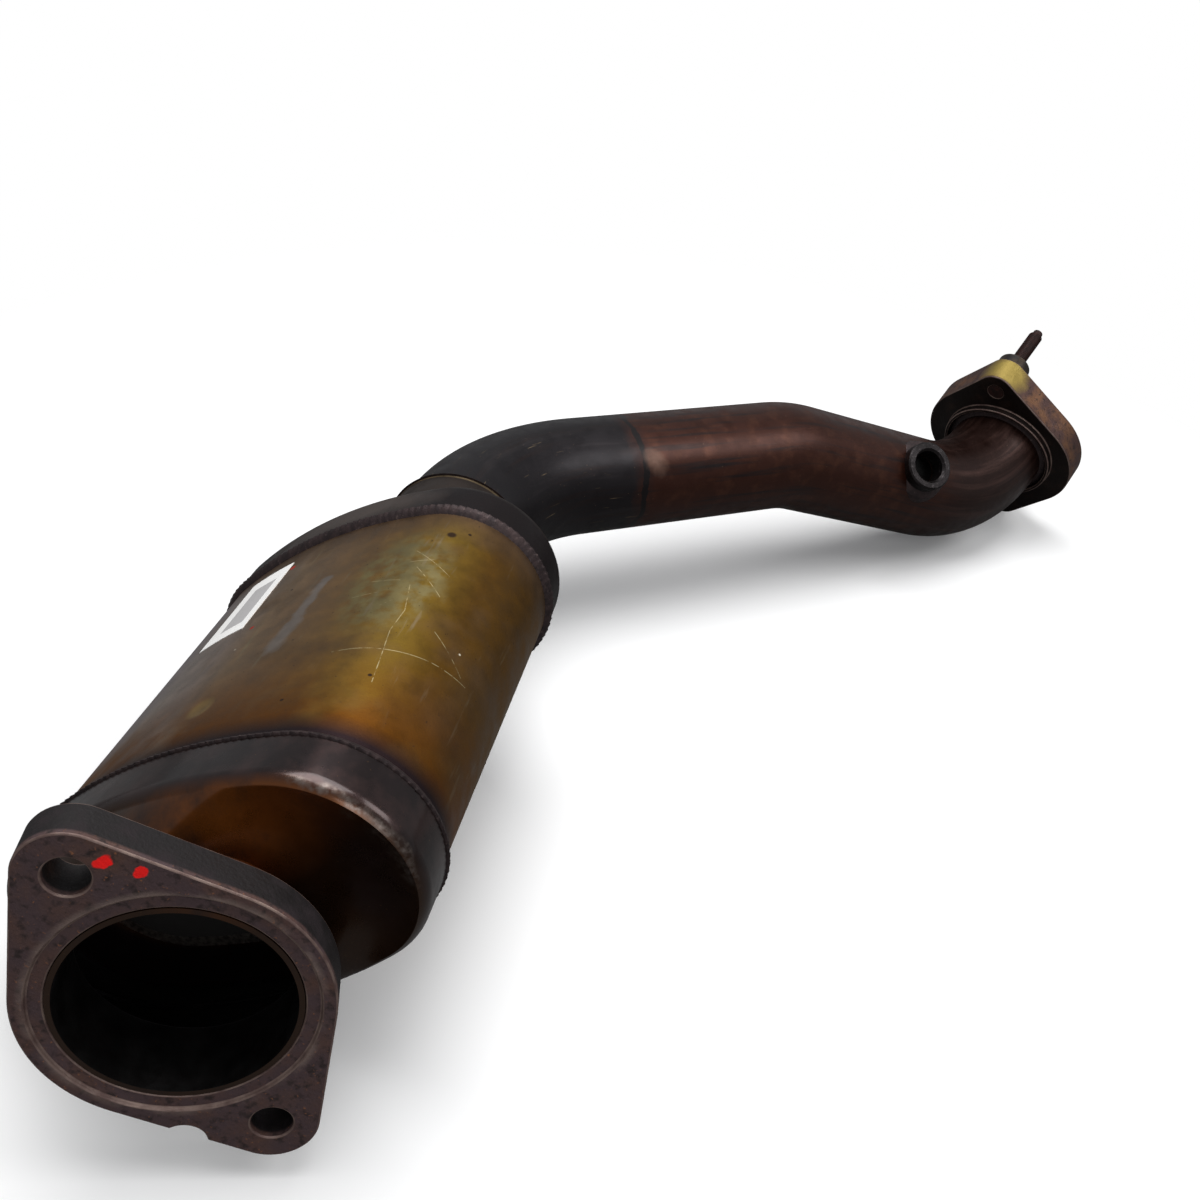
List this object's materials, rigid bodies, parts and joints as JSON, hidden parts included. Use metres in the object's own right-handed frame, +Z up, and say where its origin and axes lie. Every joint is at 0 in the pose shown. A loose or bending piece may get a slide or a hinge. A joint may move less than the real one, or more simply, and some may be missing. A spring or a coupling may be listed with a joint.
{
  "type": "catalytic converter",
  "caption": "Car exhaust catalytic converter: flat oval canister between cones, bolted outlet flange, bent inlet pipe with a sensor boss and a studded flange.",
  "frame": {"origin": "middle of the part's box, on the floor it lies on", "axes": "+X along the canister from the outlet flange to the inlet pipe, +Z up as the part lies on a level floor, +Y across the canister away from the inlet flange"},
  "size_m": [0.5788, 0.3808, 0.1156],
  "materials": {
    "shell_steel": "heat-tinted stainless steel, gold and olive, scratched",
    "outlet_cone_steel": "heat-tinted stainless steel, dark golden brown",
    "inlet_cone_steel": "heat-tinted stainless steel, grey brown",
    "pipe_steel": "dark oxidised steel tube, brown and blue black",
    "boss_steel": "dark oxidised turned steel",
    "outlet_flange_steel": "matt purple-brown rust",
    "inlet_flange_steel": "heat-tinted and rusty steel plate",
    "weld_metal": "oxidised weld bead",
    "stud_steel": "rusty stud",
    "collar_steel": "blackened collar",
    "ceramic": "cordierite ceramic honeycomb, matt",
    "mat_fibre": "ceramic fibre mat",
    "wire_seal": "knitted stainless wire",
    "label_paper": "plain white paper sticker"
  },
  "bodies": {
    "root": {"shell": "shell_steel", "ceramic_monolith": "ceramic", "support_mat": "mat_fibre", "outlet_mat_seal": "wire_seal", "inlet_mat_seal": "wire_seal", "part_label": "label_paper", "outlet_cone": "outlet_cone_steel", "outlet_cone_weld": "weld_metal", "outlet_flange": "outlet_flange_steel", "outlet_flange_weld": "weld_metal", "inlet_cone": "inlet_cone_steel", "inlet_cone_weld": "weld_metal", "inlet_pipe": "pipe_steel", "inlet_pipe_weld": "weld_metal", "sensor_boss": "boss_steel", "sensor_boss_weld": "weld_metal", "inlet_flange": "inlet_flange_steel", "inlet_flange_weld": "weld_metal", "upper_stud": "stud_steel", "lower_stud": "stud_steel", "upper_stud_collar": "collar_steel", "lower_stud_collar": "collar_steel"}
  },
  "joints": []
}
